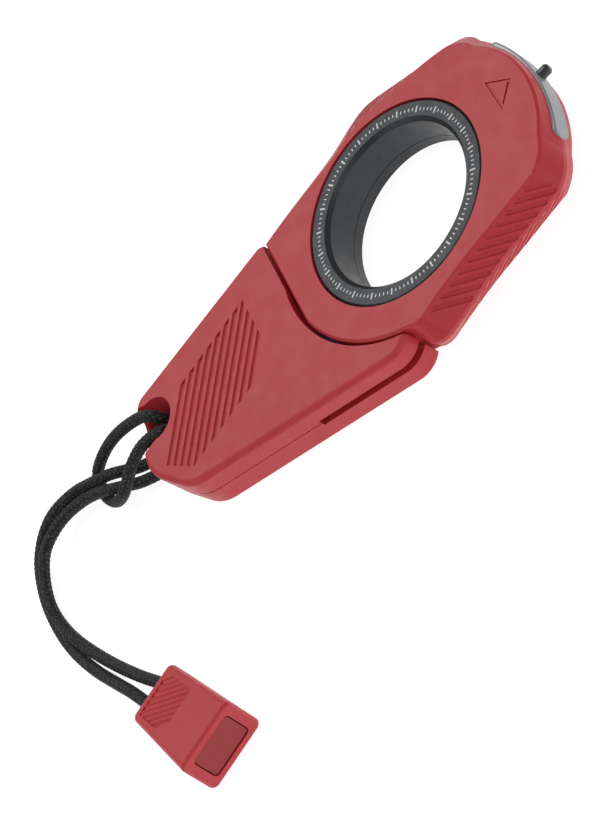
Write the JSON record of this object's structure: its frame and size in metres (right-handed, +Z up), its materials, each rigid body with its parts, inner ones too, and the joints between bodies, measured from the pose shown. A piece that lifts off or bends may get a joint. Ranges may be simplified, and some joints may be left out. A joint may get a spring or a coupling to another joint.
{
  "type": "rescue saw",
  "caption": "Palm-size rescue saw: finger-ring handle with a saw and belt-cutter blade under a pull-off sheath, a glass-breaker tip, and a cord with a pull toggle.",
  "frame": {"origin": "centre of the finger ring's bore, on the plane that the tool lies on", "axes": "+Z up along the finger ring's axis, +X along the tool from the cord hole to the glass-breaker tip, +Y to the side away from the belt-cutter slot"},
  "size_m": [0.216, 0.1381, 0.0163],
  "materials": {
    "red_shell": "fine-textured moulded red nylon",
    "toggle_red": "moulded red plastic",
    "plug_red": "darker moulded red plastic",
    "ring_dark": "dark grey anodised aluminium",
    "seal_black": "black rubber",
    "cap_steel": "bead-blasted stainless steel",
    "tip_carbide": "dark sintered carbide",
    "blade_steel": "ground stainless steel",
    "core_steel": "stamped steel plate",
    "screw_black": "black oxide steel",
    "insert_brass": "turned brass",
    "guide_nylon": "natural nylon sheet",
    "cord_black": "black braided cord"
  },
  "bodies": {
    "handle": {"head_shell_top": "red_shell", "head_shell_bottom": "red_shell", "core_plate": "core_steel", "saw_blade": "blade_steel", "belt_cutter_razor": "blade_steel", "razor_rivets": "core_steel", "blade_pins": "core_steel", "ring_front": "ring_dark", "ring_back": "ring_dark", "ring_gasket": "seal_black", "strike_cap": "cap_steel", "cap_pins": "core_steel", "glass_breaker_tip": "tip_carbide", "head_screws": "screw_black", "head_inserts": "insert_brass"},
    "sheath": {"sheath_shell_top": "red_shell", "sheath_shell_bottom": "red_shell", "blade_guides": "guide_nylon", "grip_pads": "seal_black", "sheath_screws": "screw_black", "sheath_inserts": "insert_brass", "toggle_body": "toggle_red", "toggle_end_plug": "plug_red", "cord_end_knots": "cord_black", "lanyard_cord": "cord_black"}
  },
  "joints": [
    {"name": "sheath_release", "type": "slide", "parent": "handle", "child": "sheath", "axis": [-1, 0, 0], "range_m": [0, 0.07]}
  ]
}
